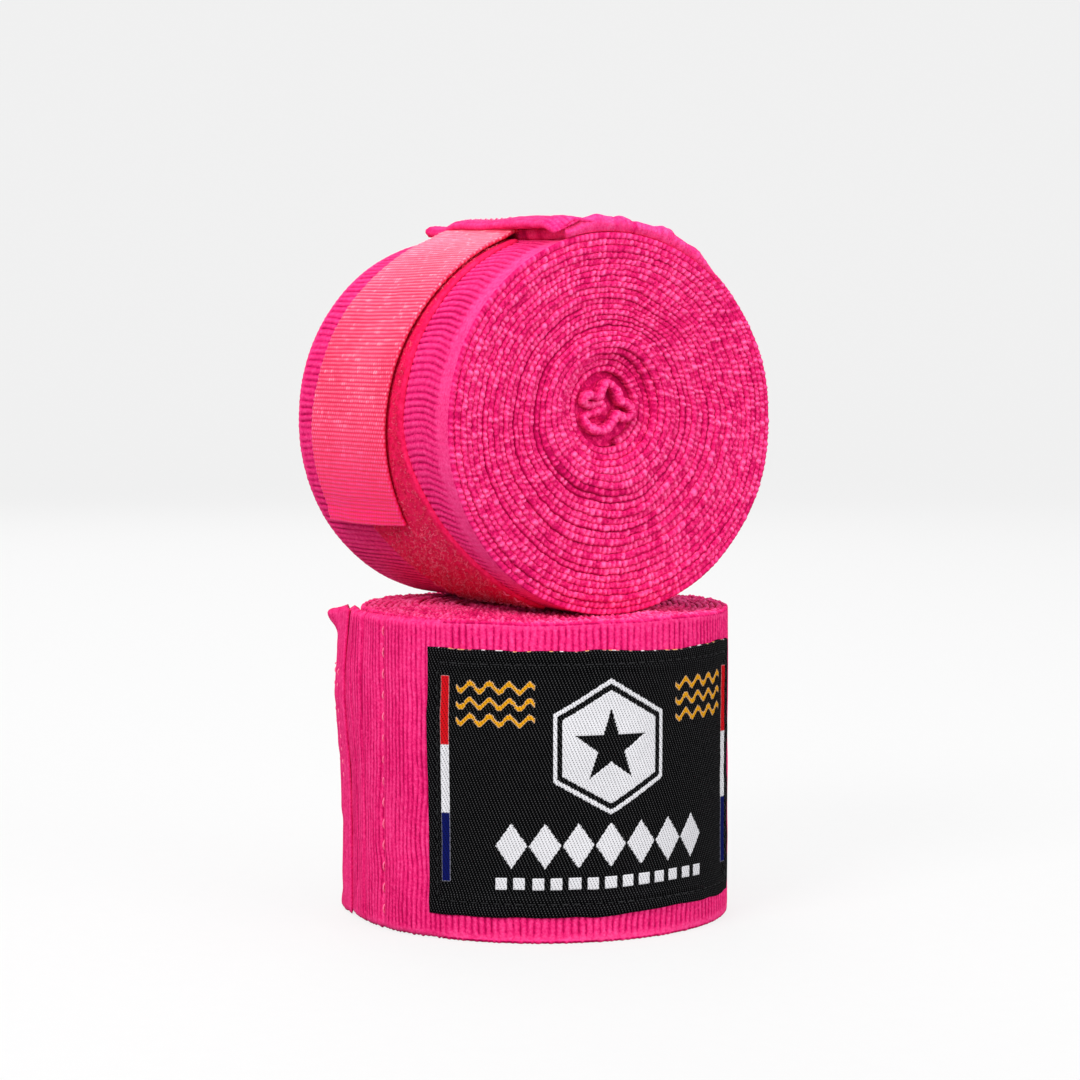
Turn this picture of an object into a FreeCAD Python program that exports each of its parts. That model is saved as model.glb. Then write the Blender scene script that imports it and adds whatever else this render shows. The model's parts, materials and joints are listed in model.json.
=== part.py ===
# A pair of semi-elastic hand wraps, each one a 50 mm band wound into a roll.
# The lower roll stands on its end. The upper roll lies on its side on top of it.
# Frame: origin at the centre of the lower roll's bottom face, +Z up, millimetres.
#
# Every roll is described once, in its own frame: the winding axis is Z, the band
# runs from z = 0 to z = band_width, and it winds outwards clockwise seen from +Z.
# Angles are in degrees, counter-clockwise from the roll's own +X. The hem at the
# band's free end sits at 180. The label lies before it, at 235 to 346, and the hook
# tape runs on from it, from 180 down to 76, over the loop patch.
import FreeCAD, Part
import math
import os
import Sketcher

Vector = FreeCAD.Vector
doc = FreeCAD.newDocument("HandWrapPair")

# ---------------------------------------------------------------- sizes
# Names ending in _from, _to and _angle are angles; _low and _high are heights along
# the roll's axis, except for the hem's, which are radial.
SIZES = {
    # the band
    "band_width": 50.0,           # height of a standing roll
    "band_thick": 0.93,           # one layer of woven band
    "layer_pitch": 1.0,           # radial step from one turn to the next
    "roll_radius": 30.4,          # outside of the last full turn
    "core_radius": 5.3,           # where the winding starts
    # gaps between pieces
    "free_gap": 0.04,             # between neighbouring soft pieces
    "bend_gap": 0.08,             # angle cut off each end of a bending length
    "tape_gap": 0.08,             # between loop patch and hook tape
    "window_over": 0.3,           # how far a window's cut passes the strip's two faces
    # stitching
    "thread": 0.22,               # how far a thread stands proud
    "thread_gap": 0.02,           # between a thread and the surface below it
    # the free end of the band
    "end_hinge": 230.0,           # angle where the free end leaves the roll
    "hinge_gap": 0.2,             # angle by which the wound band stops short of it
    "end_fold": 205.0,            # angle of the second bend
    "end_tip": 180.2,             # angle of the last edge of the band
    "end_extra": 0.7,             # the free end is turned over, so it is thicker
    "seam_angle": 216.0,          # line of stitches that holds the turned-over end
    "seam_half": 0.55,            # half the angle it covers
    "seam_inset": 1.5,            # from its ends to the band's edges
    # the hem that holds the tape
    "hem_from": 177.0,
    "hem_to": 192.0,
    "hem_low": 0.98,              # hem's underside above the roll's radius
    "hem_high": 1.95,             # hem's outside above the roll's radius
    "hem_seam_turn": 1.5,         # seam's inset as an angle
    "hem_seam_inset": 1.0,        # seam's inset from the tape's edges
    "hem_frame_turn": 1.1,        # width of the seam's frame as an angle
    "hem_frame": 0.6,             # width of the seam's frame along the axis
    # hook tape
    "tape_low": 17.5,
    "tape_high": 41.5,
    "tape_thick": 1.0,
    "tape_root": 172.0,           # the tape is sewn down between the hem and here
    "tape_root_to": 179.7,
    "tape_step": 16.0,            # angle of one bending length of the tape
    # loop patch
    "patch_low": 11.0,
    "patch_high": 38.5,
    "patch_thick": 0.86,
    "patch_from": 34.0,
    "patch_to": 179.5,
    "patch_seam_near": 2.5,       # seam's two ends, as angles after patch_from
    "patch_seam_far": 20.0,
    "patch_seam_inset": 1.3,
    "patch_frame_turn": 0.9,
    "patch_frame": 0.5,
    # label
    "label_low": 4.4,
    "label_high": 45.3,
    "label_thick": 0.45,
    "label_from": 235.0,
    "label_to": 346.0,
    "label_margin": 1.9,          # seam's inset along the axis
    "label_seam_turn": 3.4,
    "label_frame_turn": 0.8,
    "label_frame": 0.45,
    # thumb loop in the core
    "loop_outer": 4.9,
    "loop_thick": 0.95,
    "loop_trim": 1.0,             # from the loop's ends to the band's edges
    "bartack_depth": 0.6,         # from the loop's inside to the bartack's inside
    "bartack_from": 75.0,
    "bartack_to": 105.0,
    "bartack_low": 18.0,
    "bartack_high": 32.0,
    # where the upper roll lies
    "upper_x": -1.8,
    "upper_y": 2.3,
    "upper_yaw": 32.0,            # its z = 0 face turns this far from -Y towards +X
    "upper_hem": 107.0,           # its hem, counter-clockwise from the face's right
    "upper_gap": 0.03,            # between the two rolls
}
TAPE_SEGMENTS = 6

sheet = doc.addObject("Spreadsheet::Sheet", "Sizes")
for row, (alias, number) in enumerate(SIZES.items(), start=1):
    sheet.set("A%d" % row, alias)
    sheet.set("B%d" % row, repr(number))
    sheet.setAlias("B%d" % row, alias)
doc.recompute()


class Size:
    """A size that knows both its number and the expression it comes from."""

    def __init__(self, value, text):
        self.value = float(value)
        self.text = text

    def joined(self, sign, other, operation):
        if not isinstance(other, Size):
            other = Size(other, "%.9g" % other)
        return Size(operation(self.value, other.value),
                    "(%s %s %s)" % (self.text, sign, other.text))

    def __add__(self, other):
        return self.joined("+", other, float.__add__)

    def __sub__(self, other):
        return self.joined("-", other, float.__sub__)

    def __mul__(self, other):
        return self.joined("*", other, float.__mul__)

    def __truediv__(self, other):
        return self.joined("/", other, float.__truediv__)


def size(alias):
    return Size(SIZES[alias], "Sizes." + alias)


def span(start, end):
    return size(start), size(end)


def inset(limits, margin):
    """A (low, high) pair drawn in at both ends by a named size."""
    low, high = limits
    return low + size(margin), high - size(margin)


# Sizes that several pieces share. The turns are half circles: those at y < 0 are
# centred on the axis, those at y > 0 half a pitch towards +X.
AXIS = Size(0, "0")
RADIUS = size("roll_radius")
BACK_CENTRE = size("layer_pitch") / 2
BACK_RADIUS = RADIUS - size("layer_pitch") / 2
PATCH_OUTSIDE = BACK_RADIUS + size("patch_thick")
END_OUTSIDE = RADIUS + size("end_extra")
HEM_INSIDE = RADIUS + size("hem_low")
HEM_OUTSIDE = RADIUS + size("hem_high")
LABEL_OUTSIDE = RADIUS + size("label_thick")
LOOP_INSIDE = size("loop_outer") - size("loop_thick")
FULL_WIDTH = (Size(0, "0"), size("band_width"))


# ---------------------------------------------------------------- building blocks
def new_sketch(body, name):
    """A sketch on the body's XY plane, across the roll's axis."""
    sketch = body.newObject("Sketcher::SketchObject", name)
    xy_plane = next(item for item in body.Origin.OriginFeatures if item.Role == "XY_Plane")
    sketch.AttachmentSupport = (xy_plane, [""])
    sketch.MapMode = "FlatFace"
    return sketch


def add_arc(sketch, centre, radius, start, end):
    circle = Part.Circle(centre, Vector(0, 0, 1), radius)
    sketch.addGeometry(Part.ArcOfCircle(circle, start, end), False)


def sector_sketch(body, name, centre_x, radii, angles, height):
    """A ring sector between two radial lines, centred on the X axis."""
    sketch = new_sketch(body, name)
    sketch.AttachmentOffset = FreeCAD.Placement(Vector(0, 0, height.value), FreeCAD.Rotation())
    sketch.setExpression("AttachmentOffset.Base.z", height.text)
    centre = Vector(centre_x.value, 0, 0)
    inner, outer = radii
    start, end = (math.radians(angle.value) for angle in angles)

    add_arc(sketch, centre, outer.value, start, end)
    add_arc(sketch, centre, inner.value, start, end)
    for angle in (start, end):
        direction = Vector(math.cos(angle), math.sin(angle), 0)
        sketch.addGeometry(Part.LineSegment(centre + direction * inner.value,
                                            centre + direction * outer.value), False)

    def constrain(*terms):
        return sketch.addConstraint(Sketcher.Constraint(*terms))

    def drive(driver, *terms):
        sketch.setExpression("Constraints[%d]" % constrain(*terms), driver)

    # geometry in the order it was added, then the sketcher's own numbers for the
    # X axis (whose first point is the origin) and for the points of a curve
    outer_arc, inner_arc, start_line, end_line = range(4)
    x_axis = -1
    first, last, middle = 1, 2, 3

    constrain("Coincident", start_line, first, inner_arc, first)
    constrain("Coincident", start_line, last, outer_arc, first)
    constrain("Coincident", end_line, first, inner_arc, last)
    constrain("Coincident", end_line, last, outer_arc, last)
    constrain("Coincident", outer_arc, middle, inner_arc, middle)
    if abs(centre_x.value) < 1e-9:
        constrain("Coincident", outer_arc, middle, x_axis, first)
    else:
        constrain("PointOnObject", outer_arc, middle, x_axis)
        drive(centre_x.text, "DistanceX", x_axis, first, outer_arc, middle, centre_x.value)
    drive(outer.text, "Radius", outer_arc, outer.value)
    drive(inner.text, "Radius", inner_arc, inner.value)
    constrain("PointOnObject", outer_arc, middle, start_line)
    constrain("PointOnObject", outer_arc, middle, end_line)
    drive("(%s) * 1 deg" % angles[0].text, "Angle", start_line, start)
    drive("(%s) * 1 deg" % angles[1].text, "Angle", end_line, end)
    return sketch


def extrude(kind, body, sketch, name, length):
    """A Pad or a Pocket, either one from the sketch plane towards +Z."""
    feature = body.newObject("PartDesign::" + kind, name)
    feature.Profile = sketch
    feature.Reversed = kind == "Pocket"
    feature.Length = length.value
    feature.setExpression("Length", length.text)
    sketch.Visibility = False


def new_body(name):
    body = doc.addObject("PartDesign::Body", name)
    body.Label = name
    return body


def pad_sector(body, centre_x, radii, angles, heights, suffix=""):
    low, high = heights
    sketch = sector_sketch(body, body.Label + "_profile" + suffix, centre_x, radii, angles, low)
    extrude("Pad", body, sketch, body.Label + "_pad" + suffix, high - low)


def curved_strip(name, centre_x, radii, angles, heights):
    """A strip of material bent round the roll."""
    body = new_body(name)
    pad_sector(body, centre_x, radii, angles, heights)
    return body


def stitching(name, centre_x, surface, angles, heights, frame=None):
    """Thread on a surface: a plain strip, or a frame round a rectangular window.
    The frame's widths are two size names, as an angle and along the axis."""
    radii = (surface + size("thread_gap"), surface + size("thread"))
    body = curved_strip(name, centre_x, radii, angles, heights)
    if frame:
        frame_turn, frame_width = frame
        inner, outer = radii
        window_low, window_high = inset(heights, frame_width)
        over = size("window_over")
        window = sector_sketch(body, name + "_window", centre_x, (inner - over, outer + over),
                               inset(angles, frame_turn), window_low)
        extrude("Pocket", body, window, name + "_cut", window_high - window_low)
    return body


# ---------------------------------------------------------------- pieces of a roll
def wound_band(name):
    """The wound band, as one long strip. Its half turns about two centres half a
    pitch apart make the radius grow by one pitch per turn."""
    body = new_body(name)
    sketch = new_sketch(body, name + "_profile")
    pitch, outer, thick = SIZES["layer_pitch"], SIZES["roll_radius"], SIZES["band_thick"]
    stop = math.radians(SIZES["end_hinge"] + SIZES["hinge_gap"])
    turns = int(math.floor((outer - thick - SIZES["core_radius"]) / pitch))
    front, back = Vector(0, 0, 0), Vector(pitch / 2.0, 0, 0)

    # the band's outside, then its inside; each from the core out to the hinge
    for shrink in (0.0, thick):
        for turn in range(turns, 0, -1):
            add_arc(sketch, front, outer - pitch * turn - shrink, math.pi, 2 * math.pi)
            back_radius = outer - pitch * (turn - 1) - pitch / 2.0 - shrink
            add_arc(sketch, back, back_radius, 0.0, math.pi)
        add_arc(sketch, front, outer - shrink, stop, 2 * math.pi)

    # the two cut ends, in the core and at the hinge
    for radius, angle in ((outer - pitch * turns, 0.0), (outer, stop)):
        direction = Vector(math.cos(angle), math.sin(angle), 0)
        sketch.addGeometry(Part.LineSegment(direction * (radius - thick),
                                            direction * radius), False)
    extrude("Pad", body, sketch, name + "_pad", size("band_width"))
    return body


def thumb_loop(name):
    """A closed loop of band in the core, trimmed shorter than the roll at both ends."""
    outside = doc.addObject("Part::Cylinder", name + "_outside")
    outside.setExpression("Radius", "Sizes.loop_outer")
    outside.setExpression("Height", "Sizes.band_width - 2 * Sizes.loop_trim")
    outside.setExpression("Placement.Base.z", "Sizes.loop_trim")
    inside = doc.addObject("Part::Cylinder", name + "_inside")
    inside.setExpression("Radius", LOOP_INSIDE.text)
    inside.setExpression("Height", "Sizes.band_width")
    ring = doc.addObject("Part::Cut", name)
    ring.Base = outside
    ring.Tool = inside
    ring.Label = name
    return ring


def thumb_loop_bartack(name):
    """Dense stitches that close the thumb loop."""
    radii = (LOOP_INSIDE - size("bartack_depth"), LOOP_INSIDE - size("free_gap"))
    return curved_strip(name, AXIS, radii, span("bartack_from", "bartack_to"),
                        span("bartack_low", "bartack_high"))


def loop_patch(name):
    """The patch on the outside of the last full turn."""
    return curved_strip(name, BACK_CENTRE, (BACK_RADIUS + size("free_gap"), PATCH_OUTSIDE),
                        span("patch_from", "patch_to"), span("patch_low", "patch_high"))


def loop_patch_stitching(name):
    """The patch's thread, which shows only beyond the tape, at the far end."""
    angles = (size("patch_from") + size("patch_seam_near"),
              size("patch_from") + size("patch_seam_far"))
    heights = inset(span("patch_low", "patch_high"), "patch_seam_inset")
    return stitching(name, BACK_CENTRE, PATCH_OUTSIDE, angles, heights,
                     frame=("patch_frame_turn", "patch_frame"))


def band_end(name, angles):
    """One bending length of the free end, which is turned over and doubled."""
    return curved_strip(name, AXIS, (RADIUS - size("band_thick"), END_OUTSIDE), angles,
                        FULL_WIDTH)


def band_end_stitching(name):
    """The line of stitches across the free end."""
    angles = (size("seam_angle") - size("seam_half"), size("seam_angle") + size("seam_half"))
    return stitching(name, AXIS, END_OUTSIDE, angles, inset(FULL_WIDTH, "seam_inset"))


def end_hem(name):
    """The fold that closes over the tape's sewn root, and its foot on the free end."""
    body = curved_strip(name, AXIS, (HEM_INSIDE, HEM_OUTSIDE), span("hem_from", "hem_to"),
                        FULL_WIDTH)
    pad_sector(body, AXIS, (END_OUTSIDE + size("free_gap"), HEM_INSIDE),
               span("end_tip", "hem_to"), FULL_WIDTH, suffix="_2")
    return body


def hem_stitching(name):
    """The frame of thread on the hem, as wide as the tape less its inset."""
    return stitching(name, AXIS, HEM_OUTSIDE,
                     inset(span("hem_from", "hem_to"), "hem_seam_turn"),
                     inset(span("tape_low", "tape_high"), "hem_seam_inset"),
                     frame=("hem_frame_turn", "hem_frame"))


def hook_tape(name, angles):
    """One length of the hook tape, over the loop patch."""
    inside = PATCH_OUTSIDE + size("tape_gap")
    return curved_strip(name, BACK_CENTRE, (inside, inside + size("tape_thick")), angles,
                        span("tape_low", "tape_high"))


def woven_label(name):
    return curved_strip(name, AXIS, (RADIUS + size("free_gap"), LABEL_OUTSIDE),
                        span("label_from", "label_to"), span("label_low", "label_high"))


def label_stitching(name):
    """The frame of thread on the label."""
    return stitching(name, AXIS, LABEL_OUTSIDE,
                     inset(span("label_from", "label_to"), "label_seam_turn"),
                     inset(span("label_low", "label_high"), "label_margin"),
                     frame=("label_frame_turn", "label_frame"))


def roll(prefix):
    """All pieces of one rolled hand wrap, in the roll's own frame."""
    bend_gap = size("bend_gap")
    pieces = [
        wound_band(prefix + "_band_roll"),
        thumb_loop(prefix + "_thumb_loop"),
        thumb_loop_bartack(prefix + "_thumb_loop_bartack"),
        loop_patch(prefix + "_loop_patch"),
        loop_patch_stitching(prefix + "_loop_patch_stitching"),
        band_end(prefix + "_band_end_inner", inset(span("end_fold", "end_hinge"), "bend_gap")),
        band_end(prefix + "_band_end_outer", (size("end_tip"), size("end_fold") - bend_gap)),
        band_end_stitching(prefix + "_band_end_stitching"),
        end_hem(prefix + "_end_hem"),
        hem_stitching(prefix + "_hem_stitching"),
        hook_tape(prefix + "_hook_tape_root",
                  (size("tape_root") + bend_gap, size("tape_root_to"))),
    ]
    # the far end of the patch carries its seam, so the tape ends before it
    for n in range(TAPE_SEGMENTS):
        limits = (size("tape_root") - size("tape_step") * (n + 1),
                  size("tape_root") - size("tape_step") * n)
        pieces.append(hook_tape("%s_hook_tape_%d" % (prefix, n + 1), inset(limits, "bend_gap")))
    pieces.append(woven_label(prefix + "_label"))
    pieces.append(label_stitching(prefix + "_label_stitching"))
    return pieces


# ---------------------------------------------------------------- the upper roll's place
def upper_placement():
    """The upper roll's axis is level, and the z = 0 end of its own frame points to
    the front (-Y) and the right (+X)."""
    yaw = math.radians(SIZES["upper_yaw"])
    face = Vector(math.sin(yaw), -math.cos(yaw), 0)
    right = Vector(math.cos(yaw), math.sin(yaw), 0)

    def on_face(degrees):
        angle = math.radians(degrees)
        return right * math.cos(angle) + Vector(0, 0, 1) * math.sin(angle)

    # the hem is at 180 in the roll's own frame, so +X points away from it
    start = SIZES["upper_hem"] + 180.0
    x_axis, y_axis, z_axis = on_face(start), on_face(start - 90.0), face * -1.0
    rotation = FreeCAD.Rotation(FreeCAD.Matrix(x_axis.x, y_axis.x, z_axis.x, 0,
                                               x_axis.y, y_axis.y, z_axis.y, 0,
                                               x_axis.z, y_axis.z, z_axis.z, 0,
                                               0, 0, 0, 1))
    # it rests on a half turn that is centred half a pitch along its own +X
    rest_height = BACK_RADIUS.value - BACK_CENTRE.value * x_axis.z
    centre = Vector(SIZES["upper_x"], SIZES["upper_y"],
                    SIZES["band_width"] + rest_height + SIZES["upper_gap"])
    return FreeCAD.Placement(centre + face * (SIZES["band_width"] / 2.0), rotation)


lower = roll("lower")
upper = roll("upper")
doc.recompute()
for piece in upper:
    piece.Placement = upper_placement()
doc.recompute()

# ---------------------------------------------------------------- check and write
for item in doc.Objects:
    if "Invalid" in item.State or "Error" in item.State:
        raise RuntimeError("failed object: %s %s %s" % (item.Label, item.State,
                                                        item.getStatusString()))

os.makedirs("parts", exist_ok=True)
for piece in lower + upper:
    shape = piece.Shape
    if shape.isNull() or not shape.isValid():
        raise RuntimeError("bad shape: " + piece.Label)
    if len(shape.Solids) != 1:
        raise RuntimeError("%s has %d solids" % (piece.Label, len(shape.Solids)))
    shape.exportStep("parts/%s.step" % piece.Label)
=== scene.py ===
"""Two rolls of pink woven band, "lower" and "upper".

Each roll has a doubled free end with a hem, a hook tape peeling off a patch of loop
pile, a woven label and a crumpled thumb loop in its core. A roll is modelled in mm in
its own frame: its axis is +z, its end faces lie at z = 0 and z = WIDTH, and angles run
counterclockwise from +x. It is then placed in the world (metres, +Z up) by its hinges.
The lower roll stands on its z = 0 face; the upper roll shows that face to the camera.
"""
import bpy
import itertools
import json
import math
import numpy as np
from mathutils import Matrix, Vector


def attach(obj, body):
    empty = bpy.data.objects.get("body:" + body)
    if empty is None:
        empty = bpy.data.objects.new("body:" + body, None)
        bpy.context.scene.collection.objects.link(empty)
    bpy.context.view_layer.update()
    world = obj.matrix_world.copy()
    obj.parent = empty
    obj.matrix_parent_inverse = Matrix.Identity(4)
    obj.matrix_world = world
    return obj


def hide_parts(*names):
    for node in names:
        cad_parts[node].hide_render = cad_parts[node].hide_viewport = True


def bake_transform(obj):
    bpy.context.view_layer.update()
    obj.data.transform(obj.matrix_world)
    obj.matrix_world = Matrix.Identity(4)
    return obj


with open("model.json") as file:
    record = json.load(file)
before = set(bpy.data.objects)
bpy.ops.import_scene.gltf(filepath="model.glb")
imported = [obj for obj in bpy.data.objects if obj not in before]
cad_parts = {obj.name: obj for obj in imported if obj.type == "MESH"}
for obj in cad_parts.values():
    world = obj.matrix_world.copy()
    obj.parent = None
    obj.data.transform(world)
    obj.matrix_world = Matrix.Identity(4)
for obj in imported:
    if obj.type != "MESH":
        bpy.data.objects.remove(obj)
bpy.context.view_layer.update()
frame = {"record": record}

# ------------------------------------------------------------------ sizes, mm and degrees
ROLL_R = 30.4                 # outside of the last full turn
PITCH = 1.0                   # from one turn to the next
THICK = 0.93                  # of the band
CORE_R = 5.3
WIDTH = 50.0                  # of the band, the roll's length
# the spiral is made of half turns; those from 180 to 0 degrees are centred on BACK_X
BACK_X = PITCH / 2
BACK_R = ROLL_R - PITCH / 2
TURNS = int(math.floor((ROLL_R - THICK - CORE_R) / PITCH))

FLAP_R = ROLL_R + 0.7         # free end of the band
LIFT_HINGE, CURL_HINGE = 230.0, 205.0
FLAP_START, FLAP_SPLIT, FLAP_END = 240.4, 217.5, 180.4
FLAP_SEAM = 216.0
WIDE_CREASE, NARROW_CREASE = 204.5, 198.0
HEM_BASE_R = ROLL_R + 0.92    # where the hem's back edge settles

TAPE_HINGE, TAPE_STEP, TAPE_PARTS = 172.0, 16.0, 6
TAPE_Z0, TAPE_Z1 = 17.5, 41.5
TAPE_MID = (TAPE_Z0 + TAPE_Z1) / 2
TAPE_R = BACK_R + 0.86 + 0.08 + 1.0     # over the patch, a gap and the tape's own depth
TAPE_MID_R = TAPE_R - 0.36

PATCH_W = 24.0
PATCH_A0, PATCH_A1 = 34.0, 179.6
PATCH_SEAM_A0, PATCH_SEAM_A1 = 36.5, 50.0
PATCH_SEAM_Z0, PATCH_SEAM_Z1 = 7.4, 29.0

LABEL_A0, LABEL_A1 = 235.0, 346.0
LABEL_Z0, LABEL_Z1 = 4.4, 45.3
LABEL_W = math.radians(LABEL_A1 - LABEL_A0) * ROLL_R
LABEL_H = LABEL_Z1 - LABEL_Z0
LABEL_SEAM = 1.9              # in from the label's edge

# on the upper roll's visible face this angle points right, and 90 degrees less points up
FACE_RIGHT = math.radians(287.0)
HOLLOW_AT = {"lower": 0.9, "upper": FACE_RIGHT - math.radians(38.0)}    # radians
SLACK_AT = {"lower": 4.0, "upper": math.radians(72.0)}                  # radians
CORE_SHIFT = {"lower": (0.9, -0.6), "upper": (-2.8, 0.5)}


# ------------------------------------------------------------------ shaping functions
LATTICE = np.random.default_rng(3).random((64, 64, 64)).astype(np.float32)


def noise(x, y, z):
    """Smooth value noise from -1 to 1. Constant arguments pick separate patterns."""
    point = [np.asarray(v, float) for v in np.broadcast_arrays(x, y, z)]
    cell = [np.floor(v).astype(int) for v in point]
    part = [v - c for v, c in zip(point, cell)]
    part = [f * f * (3 - 2 * f) for f in part]
    total = 0
    for corner in itertools.product((0, 1), repeat=3):
        weight = math.prod(f if d else 1 - f for f, d in zip(part, corner))
        total = total + weight * LATTICE[tuple((c + d) % 64 for c, d in zip(cell, corner))]
    return total * 2 - 1


def rise(value, start, end):
    """0 before start, easing to 1 at end."""
    t = np.clip((value - start) / (end - start), 0, 1)
    return t * t * (3 - 2 * t)


def fall(value, start, end):
    """1 before start, easing to 0 at end."""
    return 1 - rise(value, start, end)


def bell(value, centre, width):
    return np.exp(-((value - centre) / width) ** 2)


def turned(angle, centre, half):
    """1 at the angle centre (radians), easing to 0 over half each way."""
    return bell(np.abs((angle - centre + math.pi) % (2 * math.pi) - math.pi), 0, half)


def wave(turns):
    return 0.5 + 0.5 * np.cos(2 * math.pi * turns)


def ridge(turns, sharpness):
    return np.abs(np.sin(math.pi * turns)) ** sharpness


def inset(value, low, high, width):
    """0 at either border, rising to 1 at width inside it."""
    return np.clip(np.minimum(value - low, high - value) / width, 0, 1)


def rounding(inside):
    """Quarter-circle drop: 1 on a border (inside = 0), 0 away from it (inside = 1)."""
    return 1 - np.sqrt(1 - (1 - inside) ** 2)


def polar(radius, turn, z, centre_x=0.0):
    """Points at an angle in radians, stacked on the last axis."""
    x, y = centre_x + radius * np.cos(turn), radius * np.sin(turn)
    return np.stack(np.broadcast_arrays(x, y, z), -1)


def grid(rows, columns):
    return np.meshgrid(rows, columns, indexing="ij")


# ------------------------------------------------------------------ placing the rolls
def roll_frame(roll):
    """Rotation and origin (mm) of a roll's own frame, fitted to its hinges."""
    joints = {j["name"]: j for j in frame["record"]["behaviour"]["joints"]}
    # name, radius, angle, centre x, z
    hinges = [("band_end_lift", FLAP_R, LIFT_HINGE, 0.0, WIDTH / 2),
              ("band_end_curl", FLAP_R, CURL_HINGE, 0.0, WIDTH / 2)]
    hinges += [(f"tape_peel_{k + 1}", TAPE_R, TAPE_HINGE - TAPE_STEP * k, BACK_X, TAPE_MID)
               for k in range(TAPE_PARTS)]
    local = np.array([polar(radius, math.radians(angle), z, centre_x)
                      for _, radius, angle, centre_x, z in hinges])
    world = np.array([[c * 1000 for c in joints[f"{roll}_{hinge[0]}"]["pos_m"]]
                      for hinge in hinges])
    local_mid, world_mid = local.mean(0), world.mean(0)
    left, _, right = np.linalg.svd((local - local_mid).T @ (world - world_mid))
    mirror = np.sign(np.linalg.det(right.T @ left.T))
    rotation = right.T @ np.diag([1, 1, mirror]) @ left.T
    return rotation, world_mid - rotation @ local_mid


FRAMES = {roll: roll_frame(roll) for roll in ("lower", "upper")}


def to_world(roll, points):
    rotation, origin = FRAMES[roll]
    return (np.asarray(points, float) @ rotation.T + origin) / 1000.0


def world_point(roll, radius, degrees, centre_x=0.0, z=WIDTH / 2):
    return tuple(to_world(roll, polar(radius, math.radians(degrees), z, centre_x)[None])[0])


# ------------------------------------------------------------------ mesh building
def make(name, roll, points, faces, material, slot, shade,
         colour=None, uv=None, body=None, replaces=()):
    """An object from points (mm) and a list of face arrays, one row to a face."""
    mesh = bpy.data.meshes.new(name)
    points = to_world(roll, points)
    loops = np.concatenate([group.ravel() for group in faces])
    totals = np.concatenate([np.full(len(group), group.shape[1]) for group in faces])
    starts = np.cumsum(totals) - totals
    mesh.vertices.add(len(points))
    mesh.vertices.foreach_set("co", points.astype(np.float32).ravel())
    mesh.loops.add(len(loops))
    mesh.loops.foreach_set("vertex_index", loops.astype(np.int32))
    mesh.polygons.add(len(starts))
    mesh.polygons.foreach_set("loop_start", starts.astype(np.int32))
    mesh.polygons.foreach_set("loop_total", totals.astype(np.int32))
    mesh.polygons.foreach_set("use_smooth", np.ones(len(starts), bool))
    shades = mesh.attributes.new("shade", "FLOAT", "POINT")
    shades.data.foreach_set("value", np.asarray(shade, np.float32).ravel())
    if colour is not None:
        tint = mesh.attributes.new("tint", "FLOAT_COLOR", "POINT")
        rgba = np.ones((len(points), 4), np.float32)
        rgba[:, :3] = colour
        tint.data.foreach_set("color", rgba.ravel())
    if uv is not None:
        layer = mesh.uv_layers.new(name="UVMap")
        layer.data.foreach_set("uv", np.asarray(uv, np.float32)[loops].ravel())
    mesh.update(calc_edges=True)
    mesh.validate()
    obj = bpy.data.objects.new(name, mesh)
    bpy.context.scene.collection.objects.link(obj)
    mesh.materials.append(material)
    if body:
        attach(obj, body)
    if replaces:
        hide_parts(*replaces)
    return obj


def loop_quads(rows, columns):
    """Quads of a grid that is closed along its columns."""
    i, j = grid(np.arange(rows - 1), np.arange(columns))
    a = i * columns + j
    b = i * columns + (j + 1) % columns
    return np.stack([a, b, b + columns, a + columns], -1).reshape(-1, 4)


def sheet(name, roll, outer, inner, shade, colour=None, uv=None, **look):
    """A closed sheet: outer and inner grids of points, joined along the four borders."""
    rows, columns = outer.shape[:2]
    count = rows * columns
    i, j = grid(np.arange(rows - 1), np.arange(columns - 1))
    a = i * columns + j
    top = np.stack([a, a + 1, a + columns + 1, a + columns], -1).reshape(-1, 4)
    bottom = np.stack([a, a + columns, a + columns + 1, a + 1], -1).reshape(-1, 4) + count
    border = np.concatenate([np.arange(columns - 1),
                             np.arange(rows - 1) * columns + columns - 1,
                             (rows - 1) * columns + np.arange(columns - 1, 0, -1),
                             np.arange(rows - 1, 0, -1) * columns])
    following = np.roll(border, -1)
    side = np.stack([border, border + count, following + count, following], -1)

    def twice(values):
        return None if values is None else np.concatenate([values.reshape(count, -1)] * 2)

    return make(name, roll, twice(np.stack([outer]))[:count * 0] if False else
                np.concatenate([outer.reshape(-1, 3), inner.reshape(-1, 3)]),
                [top, bottom, side], shade=twice(shade), colour=twice(colour), uv=twice(uv),
                **look)


def curved_sheet(name, roll, degrees, outer, inner, z, centre_x=0.0, **look):
    """A sheet given by its outer and inner radius."""
    turn = np.radians(degrees)
    return sheet(name, roll, polar(outer, turn, z, centre_x), polar(inner, turn, z, centre_x),
                 **look)


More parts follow.
